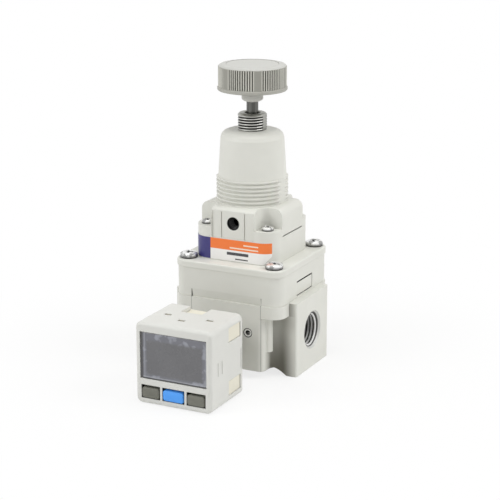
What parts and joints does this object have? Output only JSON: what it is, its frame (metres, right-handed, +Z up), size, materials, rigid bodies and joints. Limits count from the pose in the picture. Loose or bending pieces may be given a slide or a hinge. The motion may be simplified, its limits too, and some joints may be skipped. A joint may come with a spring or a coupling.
{
  "type": "precision pressure regulator",
  "caption": "Precision pressure regulator: square cast body with pipe ports on its sides, threaded bonnet, adjusting knob on top and a square digital pressure switch in front.",
  "frame": {"origin": "on the vertical body axis, in the plane of the feet", "axes": "+Z up along the adjusting screw, +X out of the outlet port, -Y towards the digital switch"},
  "size_m": [0.05, 0.0844, 0.1126],
  "materials": {
    "body_paint": "satin cast paint",
    "bush_plating": "dull zinc plating",
    "screw_nickel": "bright nickel",
    "dark_steel": "black oxide",
    "spring_steel": "drawn wire",
    "brass_turned": "turned",
    "adapter_nickel": "satin nickel",
    "light_alloy": "machined",
    "black_rubber": "matte",
    "knob_grey": "fine satin",
    "switch_white": "satin",
    "switch_cream": "satin",
    "smoky_window": "gloss",
    "panel_black": "matte",
    "button_grey": "matte",
    "button_blue": "matte",
    "board_green": "solder mask",
    "pin_gold": "gold flash",
    "label_film": "printed film"
  },
  "bodies": {
    "housing": {"lower_body": "body_paint", "mid_body": "body_paint", "bonnet": "body_paint", "exhaust_cover": "body_paint", "label": "label_film", "body_screws": "screw_nickel", "bonnet_screws": "screw_nickel", "orifice_screw": "screw_nickel", "rear_plug": "screw_nickel", "rear_plug_ring": "black_rubber", "valve_guide": "light_alloy", "guide_ring": "black_rubber", "retaining_ring": "dark_steel", "valve_spring": "spring_steel", "relay_diaphragm": "black_rubber", "nozzle": "brass_turned", "measuring_diaphragm": "black_rubber", "setting_spring": "spring_steel", "threaded_bush": "bush_plating", "switch_case": "switch_white", "switch_window": "smoky_window", "display_panel": "panel_black", "circuit_board": "board_green", "switch_rear": "switch_cream", "connector_socket": "panel_black", "connector_pins": "pin_gold", "sensor_block": "light_alloy", "switch_adapter": "adapter_nickel", "adapter_ring": "black_rubber", "adapter_screws": "screw_nickel"},
    "seat": {"upper_spring_seat": "light_alloy"},
    "knob": {"knob": "knob_grey", "knob_cap": "knob_grey", "knob_screw": "screw_nickel", "adjusting_screw": "dark_steel", "screw_clip": "dark_steel"},
    "flapper_stack": {"flapper": "light_alloy", "lower_spring_seat": "light_alloy"},
    "relay": {"relay_piston": "light_alloy", "relay_upper_plate": "light_alloy"},
    "valve": {"valve_poppet": "brass_turned", "valve_rubber": "black_rubber"},
    "button_left": {"button_left": "button_grey"},
    "button_middle": {"button_middle": "button_blue"},
    "button_right": {"button_right": "button_grey"}
  },
  "joints": [
    {"name": "seat_slide", "type": "slide", "parent": "housing", "child": "seat", "axis": [0, 0, 1], "range_m": [-0.00402, 0.00102], "deforming": ["setting_spring"]},
    {"name": "knob_turn", "type": "hinge", "parent": "seat", "child": "knob", "pos_m": [0, 0, 0.1], "axis": [0, 0, 1], "range_deg": [-1440, 360]},
    {"name": "flapper_slide", "type": "slide", "parent": "housing", "child": "flapper_stack", "axis": [0, 0, 1], "range_m": [-0.00015, 0.0001], "stiffness_N_per_m": 2000, "deforming": ["measuring_diaphragm"]},
    {"name": "valve_slide", "type": "slide", "parent": "housing", "child": "valve", "axis": [0, 0, 1], "range_m": [-0.0008, 0], "stiffness_N_per_m": 500, "springref_m": 0.004, "deforming": ["valve_spring"]},
    {"name": "relay_slide", "type": "slide", "parent": "housing", "child": "relay", "axis": [0, 0, 1], "range_m": [-0.00081, 0.00001], "deforming": ["relay_diaphragm"]},
    {"name": "button_left_press", "type": "slide", "parent": "housing", "child": "button_left", "axis": [0, 1, 0], "range_m": [0, 0.0004], "stiffness_N_per_m": 800, "springref_m": -0.0006},
    {"name": "button_middle_press", "type": "slide", "parent": "housing", "child": "button_middle", "axis": [0, 1, 0], "range_m": [0, 0.0004], "stiffness_N_per_m": 800, "springref_m": -0.0006},
    {"name": "button_right_press", "type": "slide", "parent": "housing", "child": "button_right", "axis": [0, 1, 0], "range_m": [0, 0.0004], "stiffness_N_per_m": 800, "springref_m": -0.0006}
  ],
  "couplings": [
    {"joint": "seat_slide", "follows": "knob_turn", "m_per_rad": 0.00015915},
    {"joint": "relay_slide", "follows": "valve_slide", "ratio": 1}
  ]
}
